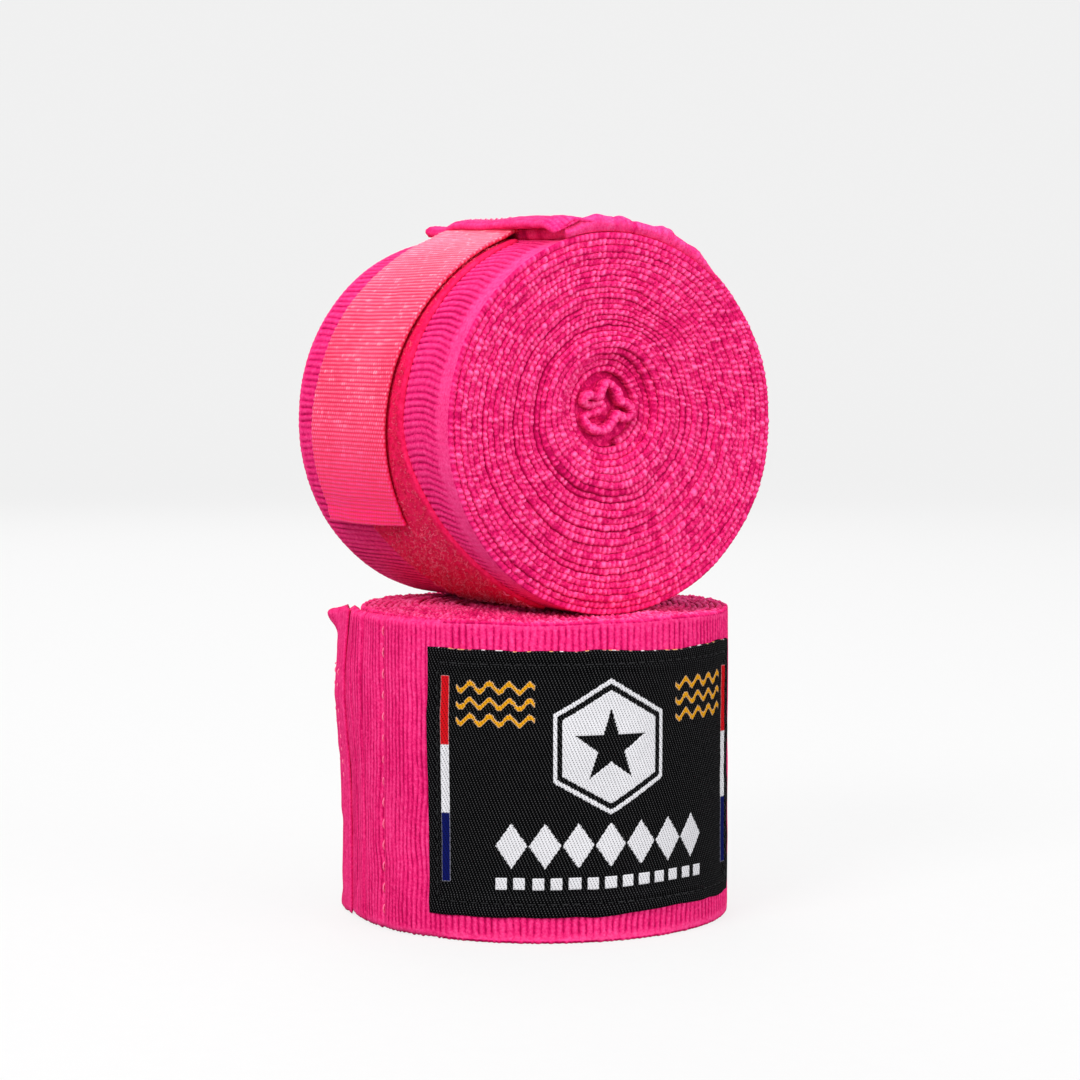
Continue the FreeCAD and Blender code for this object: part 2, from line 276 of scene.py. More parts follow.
def tubes(name, roll, paths, radius, sides, shade, **look):
    """Closed thin tubes along paths (k by 3 arrays); shade is one value or one a path."""
    points, quads, tris = [], [], []
    base = 0
    for path in paths:
        count = len(path)
        along = np.gradient(path, axis=0)
        along /= np.linalg.norm(along, axis=1)[:, None] + 1e-12
        steep = abs(along[:, 2]).mean() >= 0.8
        reference = np.array([1.0, 0.0, 0.0]) if steep else np.array([0.0, 0.0, 1.0])
        across = np.cross(along, reference)
        across /= np.linalg.norm(across, axis=1)[:, None] + 1e-12
        third = np.cross(along, across)
        angle = (np.arange(sides) * 2 * math.pi / sides)[None, :, None]
        ring = path[:, None, :] + radius * (across[:, None, :] * np.cos(angle)
                                            + third[:, None, :] * np.sin(angle))
        points.append(ring.reshape(-1, 3))
        quads.append(loop_quads(count, sides)[:, ::-1] + base)
        first = np.arange(sides) + base
        last = first + (count - 1) * sides
        for k in range(1, sides - 1):
            tris.append([first[0], first[k], first[k + 1]])
            tris.append([last[0], last[k + 1], last[k]])
        base += count * sides
    shades = np.repeat(np.broadcast_to(shade, len(paths)), [len(p) * sides for p in paths])
    return make(name, roll, np.concatenate(points), [np.concatenate(quads), np.array(tris)],
                shade=shades, **look)


# ------------------------------------------------------------------ materials
class Nodes:
    """Short ways to add and connect nodes in one node tree."""

    def __init__(self, tree):
        self.tree = tree

    def add(self, kind):
        return self.tree.nodes.new("ShaderNode" + kind)

    def feed(self, socket, value):
        """Link a socket, or set its value."""
        if isinstance(value, bpy.types.NodeSocket):
            self.tree.links.new(value, socket)
        else:
            socket.default_value = value

    def inputs(self, node, values):
        for key, value in values.items():
            self.feed(node.inputs[key], value)

    def math(self, operation, *values, clamp=False):
        node = self.add("Math")
        node.operation = operation
        node.use_clamp = clamp
        self.inputs(node, dict(enumerate(values)))
        return node.outputs[0]

    def mix(self, factor, first, second, blend="MIX"):
        node = self.add("Mix")
        node.data_type = "RGBA"
        node.blend_type = blend
        self.feed(node.inputs["Factor"], factor)
        colours = [s for s in node.inputs if s.type == "RGBA"]
        self.feed(colours[0], first)
        self.feed(colours[1], second)
        return [s for s in node.outputs if s.type == "RGBA"][0]

    def noise(self, vector, scale, detail=2.0, roughness=0.5):
        node = self.add("TexNoise")
        self.inputs(node, {"Scale": scale, "Detail": detail, "Roughness": roughness,
                           "Vector": vector})
        return node.outputs["Fac"]

    def attribute(self, name):
        node = self.add("Attribute")
        node.attribute_name = name
        return node

    def position(self):
        return self.add("TexCoord").outputs["Object"]


def new_material(name):
    material = bpy.data.materials.new(name)
    material.use_nodes = True
    tree = material.node_tree
    return material, Nodes(tree), tree.nodes["Principled BSDF"]


def srgb(*levels):
    """Linear colour with alpha 1 from 0 to 255 levels."""
    parts = [c / 255 for c in levels]
    return (*(c / 12.92 if c <= 0.04045 else ((c + 0.055) / 1.055) ** 2.4 for c in parts), 1.0)


def fabric(name, dark, base, light, fine=2600.0, bump=0.00006, rough=0.9, sheen=0.06,
           speck=0.35, specular=0.08, tint=False):
    """Woven cloth: the shade attribute, taken from the mesh's own relief, paints shade into
    the hollows and highlights on the raised threads through the dark, base and light
    colours; fine noise makes the yarn, slow noise the unevenness of the dye. fine is the
    yarn's noise scale, bump its height in metres and speck its share of the colour."""
    material, nodes, bsdf = new_material(name)
    position = nodes.position()
    lift = nodes.attribute("shade").outputs["Fac"]
    yarn = nodes.noise(position, fine, detail=3.0, roughness=0.65)
    plies = nodes.noise(position, fine * 0.37)
    dye = nodes.noise(position, 90.0, detail=3.0, roughness=0.6)
    for source, amount in ((yarn, speck * 2.2), (plies, speck * 0.9), (dye, 0.22)):
        lift = nodes.math("MULTIPLY_ADD", nodes.math("SUBTRACT", source, 0.5), amount, lift)
    ramp = nodes.add("ValToRGB")
    ramp.color_ramp.interpolation = "B_SPLINE"
    stops = ramp.color_ramp.elements
    stops[0].position, stops[0].color = 0.0, srgb(*dark)
    stops[1].position, stops[1].color = 1.0, srgb(*light)
    stops.new(0.48).color = srgb(*base)
    nodes.feed(ramp.inputs["Fac"], lift)
    colour = ramp.outputs["Color"]
    if tint:
        colour = nodes.mix(1.0, colour, nodes.attribute("tint").outputs["Color"], "MULTIPLY")
    relief = nodes.add("Bump")
    height = nodes.math("ADD", yarn, nodes.math("MULTIPLY", plies, 1.4))
    nodes.inputs(relief, {"Strength": 1.0, "Distance": bump, "Height": height})
    nodes.inputs(bsdf, {
        "Base Color": colour,
        "Roughness": nodes.math("MULTIPLY_ADD", yarn, 0.2, rough - 0.1, clamp=True),
        "Specular IOR Level": specular,
        "Sheen Weight": sheen,
        "Sheen Roughness": 0.5,
        "Sheen Tint": srgb(*light),
        "Normal": relief.outputs["Normal"]})
    return material


band_mat = fabric("pink_band", dark=(150, 0, 62), base=(242, 12, 110), light=(253, 98, 166),
                  speck=0.40)
edge_mat = fabric("pink_band_edge", dark=(160, 0, 66), base=(246, 14, 112),
                  light=(254, 116, 178), fine=2300.0, bump=0.00012, speck=0.62)
thread_mat = fabric("pink_thread", dark=(190, 10, 80), base=(255, 60, 130),
                    light=(255, 190, 215), fine=4200.0, bump=0.00002, rough=0.6, sheen=0.1)
tape_mat = fabric("coral_hook_tape", dark=(216, 0, 54), base=(250, 34, 102),
                  light=(255, 172, 192), fine=3300.0, bump=0.00003, rough=0.5, sheen=0.03,
                  speck=0.28, specular=0.4, tint=True)
patch_mat = fabric("red_loop_base", dark=(166, 0, 44), base=(237, 8, 80), light=(255, 60, 122),
                   fine=2400.0, bump=0.0001, rough=0.9, sheen=0.04)
pile_mat = fabric("red_loop_pile", dark=(205, 0, 48), base=(244, 14, 84),
                  light=(255, 150, 180), fine=3000.0, bump=0.00002, rough=0.5, sheen=0.05,
                  speck=0.2)
hook_mat = fabric("coral_hooks", dark=(240, 30, 84), base=(255, 90, 125),
                  light=(255, 160, 180), fine=3000.0, bump=0.00001, rough=0.35, sheen=0.0)
black_thread = fabric("black_thread", dark=(6, 6, 7), base=(22, 22, 24), light=(60, 60, 62),
                      fine=4200.0, bump=0.00002, rough=0.6, sheen=0.1)


def label_material():
    """Damask label: small staggered floats of thread over the ground and over the
    raised pattern. The UV map is in millimetres."""
    float_length, row_height, stagger = 0.52, 0.33, 0.27
    material, nodes, bsdf = new_material("woven_label")
    calc = nodes.math
    uv = nodes.add("UVMap")
    uv.uv_map = "UVMap"
    split = nodes.add("SeparateXYZ")
    nodes.feed(split.inputs[0], uv.outputs["UV"])
    u, v = split.outputs["X"], split.outputs["Y"]
    row = calc("FLOOR", calc("DIVIDE", v, row_height))
    along = calc("FRACT", calc("MULTIPLY_ADD", row, stagger, calc("DIVIDE", u, float_length)))
    across = calc("FRACT", calc("DIVIDE", v, row_height))
    off_along = calc("ABSOLUTE", calc("SUBTRACT", along, 0.5))
    off_across = calc("ABSOLUTE", calc("SUBTRACT", across, 0.5))
    # 1 on the middle of each float, with soft borders
    dot = calc("MULTIPLY", calc("MULTIPLY_ADD", off_along, -11.0, 2.1, clamp=True),
               calc("MULTIPLY_ADD", off_across, -8.0, 2.8, clamp=True), clamp=True)
    tint = nodes.attribute("tint").outputs["Color"]
    mask = nodes.attribute("shade").outputs["Fac"]    # 1 where the pattern floats on top
    position = nodes.position()
    yarn = nodes.noise(position, 3800.0)
    slow = nodes.noise(position, 120.0, detail=3.0)
    lit = calc("MULTIPLY", dot, calc("MULTIPLY_ADD", yarn, 0.9, 0.2, clamp=True))
    ground = nodes.mix(lit, srgb(2, 2, 3), srgb(86, 86, 88))
    pattern = nodes.mix(calc("MULTIPLY", dot, 0.62), tint, srgb(14, 14, 16))
    pattern = nodes.mix(calc("MULTIPLY", yarn, 0.28), pattern, srgb(120, 112, 118), "MULTIPLY")
    edge = calc("MULTIPLY_ADD", mask, 3.0, -1.0, clamp=True)
    colour = nodes.mix(edge, ground, pattern)
    colour = nodes.mix(calc("MULTIPLY", slow, 0.25), colour, srgb(150, 150, 150), "MULTIPLY")
    relief = nodes.add("Bump")
    nodes.inputs(relief, {"Distance": 0.00006,
                          "Height": calc("ADD", dot, calc("MULTIPLY", yarn, 0.6))})
    nodes.inputs(bsdf, {"Base Color": colour, "Roughness": 0.7, "Specular IOR Level": 0.02,
                        "Sheen Weight": 0.0, "Normal": relief.outputs["Normal"]})
    return material


label_mat = label_material()


# ------------------------------------------------------------------ the winding
EDGE_POINTS = 6      # across an edge of the band
PLAIN_POINTS = 3     # across an edge the lower roll stands on
WALL_Z = np.concatenate([np.linspace(0.5, 13.9, 40), np.linspace(15.0, 43.4, 22),
                         np.linspace(44.3, 49.5, 14)])
STANDING_DROP = -0.05     # flat end of the lower roll
band_length = {}          # wound length of each roll, filled in by wound_band


def arc_path(arcs, step):
    """Points along clockwise arcs (centre x, outer radius, from, to in degrees)."""
    centre_x, radius, angle = [], [], []
    for k, (arc_x, arc_r, a0, a1) in enumerate(arcs):
        count = max(2, int(math.ceil(abs(a0 - a1) * math.pi / 180 * arc_r / step)))
        degrees = np.linspace(a0, a1, count + 1)
        if k < len(arcs) - 1:
            degrees = degrees[:-1]
        centre_x.append(np.full(len(degrees), arc_x))
        radius.append(np.full(len(degrees), arc_r))
        angle.append(np.radians(degrees))
    centre_x, radius, angle = map(np.concatenate, (centre_x, radius, angle))
    x, y = centre_x + radius * np.cos(angle), radius * np.sin(angle)
    along = np.concatenate([[0], np.cumsum(np.hypot(np.diff(x), np.diff(y)))])
    return centre_x, radius, angle, along, -np.unwrap(angle)


def inner_arcs():
    arcs = []
    for j in range(TURNS, 1, -1):
        arcs.append((0.0, ROLL_R - PITCH * j, 360.0, 180.0))
        arcs.append((BACK_X, ROLL_R - PITCH * (j - 1) - PITCH / 2, 180.0, 0.0))
    arcs.append((0.0, ROLL_R - PITCH, 360.0, 250.0))
    return arcs


def hollow(roll, angle):
    return turned(angle, HOLLOW_AT[roll], 0.95)


def slack(roll, angle):
    return turned(angle, SLACK_AT[roll], 0.9)


def face_relief(roll, x, y, wound, far_end):
    """How far an end face stands out of its plane (mm), from the way the roll was
    wound: turns slip a little past each other, the middle ones bulge, and there is
    a hollow beside the core."""
    radius, angle = np.hypot(x, y), np.arctan2(y, x)
    seed = {"lower": 11.0, "upper": 37.0}[roll] + (19.0 if far_end else 0.0)
    relief = 0.26 * noise(wound * 0.16 + seed, seed * 0.37, 1.0)
    relief = relief + 0.12 * noise(wound * 0.9 + seed, 4.0, 1.0)
    relief = relief + 0.30 * noise(x / 10 + seed, y / 10, 1.7)
    # the tightly wound middle pushes out, with one slack turn round it
    edge = 12.6 + 0.8 * np.cos(angle + seed)
    relief = relief + (0.55 * fall(radius, edge - 1.0, edge + 0.5)
                       * (0.6 + 0.4 * slack(roll, angle)))
    relief = relief - 1.15 * fall(radius, 4.6, 10.4)
    # soft hollow round one side of the core
    relief = relief - 1.25 * bell(radius, 7.7, 1.5) * hollow(roll, angle)
    return relief - 0.30 * rise(radius, 27.5, 30.5)


def drifted(roll, points):
    """Points moved off the ideal spiral: the core sits off centre and the turns are
    not quite round."""
    x, y = points[..., 0], points[..., 1]
    radius = np.hypot(x, y)
    core = np.clip(1 - (radius / 29.0) ** 2, 0, 1) ** 2
    seed = {"lower": 3.0, "upper": 9.0}[roll]
    slow = 0.75 * rise(radius, 6.0, 12.0) * fall(radius, 22.0, 28.5)
    fine = 0.17 * rise(radius, 5.0, 7.0) * fall(radius, 28.0, 29.3)
    shift = [CORE_SHIFT[roll][k] * core + slow * noise(x / 7 + seed, y / 7, 2.5 + 5 * k)
             + fine * noise(x / 1.2, y / 1.2, 11.5 + 6 * k) for k in (0, 1)]
    return points + np.stack([*shift, 0 * x], -1)


def knot(along, offset, radius):
    """Bumps of the weft turning round at the band's edge, and their strength."""
    jitter = (0.34 * noise(along * 0.47, radius * 1.9, 4.0)
              + 0.16 * noise(along * 1.4, radius * 2.3, 8.0))
    phase = (along + jitter + 0.25 * offset) / 0.98
    strength = 0.78 + 0.46 * noise(np.floor(phase + 0.5), np.round(radius * 2), 9.0)
    return strength * wave(phase), strength


def ribs(roll, along, z, depth=0.30, period=1.12):
    """Relief (mm) and shade of the woven ribs that run across the band."""
    upper = roll == "upper"
    curve = ((0.95 if upper else 0.25) * rise(9.0 - z, 0, 6.0)
             + 0.35 * rise(z - 10.5, 0.0, 4.0) * fall(z, 18.0, 24.0))
    warp = 0.20 * noise(along / 6.0, z / 7.0, 2.0) + 0.10 * noise(along / 1.7, z / 2.2, 8.0)
    phase = (along + warp - curve) / period
    profile = ridge(phase, 0.55)
    strength = 0.80 + 0.4 * noise(np.floor(phase) * 0.61, z / 9.0, 5.0)
    # the ribs fade out towards the selvedges
    inner = rise(z, 3.0, 5.4) if upper else rise(z, 0.7, 1.9)
    inner = inner * (1 - 0.8 * rise(z, 48.6, 49.4))
    knit = wave(z / 0.80 + 0.5 * np.floor(phase))
    relief = (depth * strength * (profile - 0.78) * (0.18 + 0.82 * inner)
              + 0.07 * noise(along / 4.0, z / 6.0, 3.0))
    groove = (1 - profile) ** 1.15 * strength * (0.08 + 0.92 * inner) * (0.50 + 0.50 * knit)
    return relief, 0.56 - 1.15 * groove + 0.08 * (1 - inner) + 0.10 * (knit - 0.5) * profile


def edge_profile(count):
    """Offsets across the band and rounding at an edge, from outside to inside."""
    t = np.linspace(1, -1, count)
    t = np.sign(t) * np.abs(t) ** 0.8
    return t * PITCH / 2 * 0.985, -0.25 * np.abs(t) ** 3.0


def wound_piece(name, roll, arcs, start, step, wall=False, low_points=EDGE_POINTS):
    """A closed length of the wound band that begins at start along it. With wall, its
    outer wall carries the ribs of the weave. Returns where it ends along the band."""
    centre_x, radius, angle, along, wound = (v[:, None] for v in arc_path(arcs, step))
    mid_r = radius - THICK / 2
    wound = wound + start / 19.0
    top_offset, top_round = edge_profile(EDGE_POINTS)
    low_offset, low_round = edge_profile(low_points)
    wall_z = WALL_Z if wall else np.array([])
    # outer wall upwards, top edge outside to inside, bottom edge inside to outside
    offset = np.concatenate([np.full(len(wall_z), PITCH / 2 * 0.985), top_offset,
                             low_offset[::-1]])
    z = np.concatenate([wall_z, WIDTH + top_round, -low_round[::-1]])
    kind = np.repeat([0, 1, -1], [len(wall_z), EDGE_POINTS, low_points])    # wall, top, low
    rows, columns = len(along), len(offset)
    length = along + start
    bumps, strength = knot(length, offset, mid_r)
    side = np.abs(offset) / (PITCH / 2)
    x0, y0 = centre_x + mid_r * np.cos(angle), mid_r * np.sin(angle)
    high_relief = face_relief(roll, x0, y0, wound, True)
    low_relief = face_relief(roll, x0, y0, wound, False)
    grow = 0.34 * (bumps - 0.5) * (1 - 0.5 * side ** 2)
    if roll == "lower":          # the end it stands on is flat
        low_rise = STANDING_DROP + 0.10 * (bumps - 0.5)
    else:
        low_rise = low_relief + grow
    rising = np.where(kind > 0, high_relief + grow, low_rise)
    around = mid_r + offset
    shade = 0.32 + 0.44 * bumps * (1 - 0.30 * side ** 2) - 0.10 * side ** 3
    shade = shade + 0.22 * (strength - 0.78)
    # soft dark side of the hollow, and the slack turn's shadow
    turn, distance = np.arctan2(y0, x0), np.hypot(x0, y0)
    shadow = (0.26 * bell(distance, 7.9, 1.7) * hollow(roll, turn)
              + 0.55 * bell(distance, 12.9, 0.42) * slack(roll, turn))
    shade = shade - np.where((kind > 0) | (roll == "upper"), shadow, 0)
    # some turns lie slack and sink a little at the edge, with painted shade in the gap beside
    # them
    gap = np.clip(noise(wound * 0.22 + 5, 3.0, 6.1) - 0.24, 0, 1)
    shade = shade - np.where(offset > 0, gap * side ** 2 * 1.1, 0)
    rising = rising - np.where(offset > 0, gap * side ** 4 * 0.5, 0)
    if wall:
        rib, rib_shade = ribs(roll, length, z)
        on_wall = kind == 0
        around = around + np.where(on_wall, rib, 0)
        shade = np.where(on_wall, rib_shade, shade)
        # the wall eases into the edges, which follow the face's relief
        low_drop = low_relief if roll == "upper" else STANDING_DROP
        ease = rise(z, 42.0, 49.5) * high_relief - fall(z, 0.5, 8.0) * low_drop
        rising = np.where(on_wall, ease, rising)
    points = polar(around, angle, z + np.where(kind >= 0, 1.0, -1.0) * rising, centre_x)
    first_cap = np.arange(columns)[::-1]
    last_cap = (rows - 1) * columns + np.arange(columns)
    make(name, roll, drifted(roll, points).reshape(-1, 3),
         [loop_quads(rows, columns), first_cap[None], last_cap[None]], shade=shade,
         material=band_mat if wall else edge_mat, slot="band", body=f"{roll}_roll",
         replaces=[f"{roll}_band_roll"])
    return along[-1, 0] + start


def wound_band(roll):
    """Three lengths of inner turns, then the last turn with its ribbed wall."""
    arcs = inner_arcs()
    length = np.cumsum([abs(a0 - a1) * radius for _, radius, a0, a1 in arcs])
    cuts = [0, *(int(np.searchsorted(length, length[-1] * f)) for f in (1 / 3, 2 / 3)),
            len(arcs)]
    low_points = EDGE_POINTS if roll == "upper" else PLAIN_POINTS
    along = 0.0
    for k, part in enumerate(("inner", "middle", "outer")):
        along = wound_piece(f"{roll}_band_{part}_turns", roll, arcs[cuts[k]:cuts[k + 1]],
                            along, step=0.22, low_points=low_points)
    last = [(0.0, ROLL_R - PITCH, 250.0, 180.0), (BACK_X, BACK_R, 180.0, 0.0),
            (0.0, ROLL_R, 360.0, 240.0)]
    band_length[roll] = wound_piece(f"{roll}_band_last_turn", roll, last, along, step=0.19,
                                    wall=True)


# ------------------------------------------------------------------ stitching
def curve(radius, degrees, z, centre_x=0.0):
    """Points and outward normals of a line laid round the roll."""
    turn = np.radians(degrees)
    return polar(radius, turn, z, centre_x), polar(1.0, turn, 0.0)


def arc_line(radius, a0, a1, z0, z1, centre_x=0.0, count=60):
    return curve(radius, np.linspace(a0, a1, count), np.linspace(z0, z1, count), centre_x)


def stitch_row(points, normals, length, gap, sink, dip=0.22):
    """Single stitches along a line: each a short bowed thread."""
    distance = np.concatenate([[0], np.cumsum(np.linalg.norm(np.diff(points, axis=0), axis=1))])
    bow = np.sin(np.linspace(0, math.pi, 6))[:, None]
    paths = []
    at = gap / 2
    while at + length < distance[-1]:
        t = np.linspace(at, at + length, 6)
        place, normal = (np.stack([np.interp(t, distance, v[:, k]) for k in range(3)], -1)
                         for v in (points, normals))
        paths.append(place + normal * (bow * (dip + sink) - dip))
        at += length + gap
    return paths


def stitches(name, roll, lines, body, replaces, length, gap, radius, sink=0.12,
             material=thread_mat, slot="thread"):
    paths = []
    for points, normals in lines:
        paths += stitch_row(points, normals, length, gap, sink)
    tubes(name, roll, paths, radius, sides=5, shade=0.55, material=material, slot=slot,
          body=body, replaces=[replaces])


# ------------------------------------------------------------------ free end of the band
def bulge(roll, angle, z):
    """The standing roll's loose end swells out a little above the middle."""
    if roll == "upper":
        return 0.0
    return 1.15 * bell(z, 37.0, 11.0) * fall(angle, 190.0, 214.0)


def flap_radius(roll, angle, z):
    """Outer radius of the doubled free end."""
    raised = fall(angle, 226.0, 238.0)
    crease = 0.34 * bell(angle, WIDE_CREASE, 0.9) + 0.18 * bell(angle, NARROW_CREASE, 0.7)
    seam = 0.38 * bell(angle, FLAP_SEAM, 1.1)
    ripple = 0.16 * noise(angle / 9.0, z / 8.0, {"lower": 2.2, "upper": 7.7}[roll])
    outer = ROLL_R + 0.72 * raised - raised * (crease + seam) + raised * ripple
    outer = outer + bulge(roll, angle, z) * raised
    if roll == "upper":          # the folded cloth puffs up along the visible edge
        outer = outer + (raised * 1.05 * bell(z, 0.0, 8.0)
                         * (0.8 + 0.5 * noise(angle / 4.0, z / 6.0, 3.1))
                         * rise(angle, 182.0, 187.0))
    return outer


def flap_piece(name, roll, a_high, a_low, replaces, blend_from, blend_to):
    """A length of the free end."""
    z0, z1 = 0.1, 49.9
    count = int(abs(a_high - a_low) * math.pi / 180 * ROLL_R / 0.19)
    heights = np.concatenate([np.linspace(z0, 3, 7), np.linspace(3.8, 46.2, 40),
                              np.linspace(47, z1, 7)])
    angle, z = grid(np.linspace(a_high, a_low, count), heights)
    if a_low < 190:                 # the last edge lies inside the hem
        reach = a_high - np.maximum(hem_span(roll, z)[0] + 1.6, a_low)
        angle = a_high + (angle - a_high) * reach / (a_high - a_low)
    along = band_length[roll] + np.radians(240.0 - angle) * ROLL_R
    rib, shade = ribs(roll, along, z, depth=0.13, period=0.86)
    outer = flap_radius(roll, angle, z) + rib
    inner = ROLL_R - THICK + 0.05
    # edges across the width are rounded over
    inside = inset(z, z0, z1, 1.1)
    squeeze = rounding(inside) * ((outer - inner) / 2) * 0.93
    bumps, _ = knot(along, 0.0, ROLL_R)
    shift = (bumps - 0.5) * 0.22 * (1 - inside) * np.where(z > WIDTH / 2, 1, -1)
    shade = shade - 0.30 * bell(angle, WIDE_CREASE, 0.5) - 0.14 * bell(angle, NARROW_CREASE, 0.5)
    shade = shade + 0.10 * noise(angle / 2.2, z / 5.0, 4.4)
    flap = curved_sheet(name, roll, angle, outer - squeeze, inner + squeeze, z + shift,
                        shade=shade, material=band_mat, slot="band", replaces=[replaces])
    world_point(roll, ROLL_R, blend_from)
    world_point(roll, ROLL_R, blend_to)
    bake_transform(flap)


def hem_span(roll, z):
    """Leading edge and back edge of the hem (degrees)."""
    lead = 177.2 + (10.8 if roll == "upper" else 0.6) * z / 50
    return lead, lead + (12.2 if roll == "upper" else 14.0)


def hem_top(roll, z):
    """Radius of the middle of the hem's outer layer."""
    if roll == "lower":
        return ROLL_R + 1.72
    return ROLL_R + 0.95 + 1.05 * fall(z, 36.0, 43.0) + 0.40 * fall(z, 5.0, 28.0)


def settled(radius, angle, back):
    """The hem's radius, lowered on to the flap towards its back edge."""
    return radius - (radius - HEM_BASE_R) * rise(angle - back, -9.0, -0.5)


def hem(roll):
    """The band's end, turned over the tape's root: a folded strip, open at both
    ends, with corners that flare away from the roll."""
    lower = roll == "lower"
    seed = 5.5 if lower else 14.5
    z0, z1 = 0.15, 49.85
    fold_from, fold_to = 0.46, 0.62     # shares of the path from the back edge
    t, z = grid(np.linspace(0, 1, 54), np.linspace(z0, z1, 120))
    # path: outer layer forward, round the fold, back underneath
    lead, back = hem_span(roll, z)
    over, before_under = t < fold_from, t < fold_to
    angle = np.where(over, back - (back - lead) * (t / fold_from),
                     np.where(before_under, lead, lead + 8.0 * ((t - fold_to) / 0.38)))
    turn = np.clip((t - fold_from) / 0.16, 0, 1) * math.pi
    angle = angle - np.where(~over & before_under, 1.1 * np.sin(turn), 0)
    ripple = 0.22 * noise(z / 6.5, seed, 0.0) + 0.12 * noise(z / 2.1, seed, 5.0)
    top = hem_top(roll, z)
    high = settled(top + ripple, angle, back)
    low = top - 0.74 + 0.10 * ripple
    folding = (high + low) / 2 + (high - low) / 2 * np.cos(turn)
    radius = np.where(over, high, np.where(before_under, folding, low))
    if not lower:          # its corner at z = 0 is pulled down on the rim
        tuck = bell(z, 0.0, 2.4) * bell(angle, lead, 6.0)
        radius = radius - (radius - (ROLL_R + 0.75)) * tuck * 0.9
    angle = angle + 0.7 * noise(z / 9.0, seed, 2.0) * fall(t, 0.9, 1.0)
    # flare of the corners
    flare = (rise(z, 44.5, 49.8) * (2.3 if lower else 0.4)
             + fall(z, 0.2, 4.5) * (0.6 if lower else 0.0))
    near = (np.exp(-((angle - lead - 0.5) / 4.2) ** 2) * before_under
            * (1 - rise(t, 0.55, 0.62) * 0.6))
    radius = radius + flare * near + bulge(roll, angle, z)
    height = z - 0.9 * near * rise(z, 46, 49.8) + 0.25 * noise(angle / 2.0, z / 30.0, seed)
    mid = polar(radius, np.radians(angle), height)
    normal = np.cross(np.gradient(mid, axis=1), np.gradient(mid, axis=0))
    normal /= np.linalg.norm(normal, axis=-1, keepdims=True) + 1e-12
    # normals point away from the axis on the outer layer
    outward = polar(1.0, np.radians(angle), 0.0)
    if (normal[5, 50] * outward[5, 50]).sum() < 0:
        normal = -normal
    steps = np.linalg.norm(np.diff(mid, axis=0, prepend=mid[:1]), axis=-1)
    along = np.cumsum(steps, axis=0)
    profile = ridge((along + 0.08 * noise(along, z / 3.0, 3.0)) / 0.9, 0.7)
    half = (0.36 * (1 - 0.75 * rounding(inset(z, z0, z1, 0.8)))
            * (1 - 0.5 * rise(t, 0.95, 1.0)) * (0.35 + 0.65 * rise(t, 0.0, 0.05)))
    outer = mid + normal * (half + 0.10 * (profile - 0.6))[..., None]
    inner = mid - normal * half[..., None]
    shade = 0.46 + 0.30 * (profile - 0.6) + 0.06 * noise(angle, z / 2.0, 1.0)
    sheet(f"{roll}_end_hem_fold", roll, outer, inner, shade=shade, material=band_mat,
          slot="band", body=f"{roll}_band_end_b", replaces=[f"{roll}_end_hem"])


def hem_box(roll):
    """Box of stitches on the hem's outer layer."""
    z0, z1 = 21.5, 40.5
    near, far = 0.24, 0.66      # shares of the way from leading to back edge
    lines = []
    for za, zb, share_a, share_b in ((z0, z1, near, near), (z0, z1, far, far),
                                     (z0, z0, near, far), (z1, z1, near, far)):
        z, share = np.linspace(za, zb, 50), np.linspace(share_a, share_b, 50)
        lead, back = hem_span(roll, z)
        angle = lead + (back - lead) * share
        radius = settled(hem_top(roll, z), angle, back) + 0.30 + bulge(roll, angle, z)
        lines.append(curve(radius, angle, z))
    stitches(f"{roll}_hem_box_seam", roll, lines, f"{roll}_band_end_b",
             f"{roll}_hem_stitching", length=1.4, gap=0.7, radius=0.14)


def free_end(roll):
    end_a, end_b = f"{roll}_band_end_a", f"{roll}_band_end_b"
    flap_piece(f"{roll}_band_end_near", roll, FLAP_START, FLAP_SPLIT, f"{roll}_band_end_inner",
               blend_from=LIFT_HINGE + 7, blend_to=LIFT_HINGE - 7)
    flap_piece(f"{roll}_band_end_far", roll, FLAP_SPLIT, FLAP_END, f"{roll}_band_end_outer",
               blend_from=CURL_HINGE + 7, blend_to=CURL_HINGE - 7)
    hem(roll)
    # line of sparse stitches that closes the turned-over end
    seam = arc_line(FLAP_R - 0.28, FLAP_SEAM, FLAP_SEAM, 1.5, 48.5)
    stitches(f"{roll}_band_end_seam", roll, [seam], end_a, f"{roll}_band_end_stitching",
             length=1.5, gap=1.9, radius=0.15, sink=0.05)
    hem_box(roll)


# ------------------------------------------------------------------ hook tape
def skew(angle):
    """The tape was laid on a little askew (mm along the roll)."""
    return 1.8 * np.clip((112.0 - angle) / 38.0, -1.0, 1.0)


def tape_hooks(name, roll, a_high, a_low):
    """Rows of bent hooks on the underside of a length of tape."""
    random = np.random.default_rng(int(a_high * 10) + (1000 if roll == "upper" else 0))
    root_r = TAPE_MID_R - 0.57
    t = np.linspace(0, 1, 6)
    down = 0.36 * np.sin(t * math.pi * 0.72)
    forward = 0.34 * (1 - np.cos(t * math.pi * 0.85))
    radius = root_r - down
    paths = []
    for row in np.arange(min(a_high, 179.0) - 0.8, a_low + 0.6, -2.1):
        for hook_z in np.arange(TAPE_Z0 + 1.1, TAPE_Z1 - 0.9, 1.25):
            turn = math.radians(row + random.uniform(-0.3, 0.3))
            z = hook_z + random.uniform(-0.2, 0.2) + skew(row)
            way = 1 if random.random() < 0.5 else -1
            paths.append(polar(radius, turn + way * forward / root_r, z, BACK_X))
    return tubes(name, roll, paths, radius=0.06, sides=3, shade=0.5, material=hook_mat,
                 slot="hook_tape")


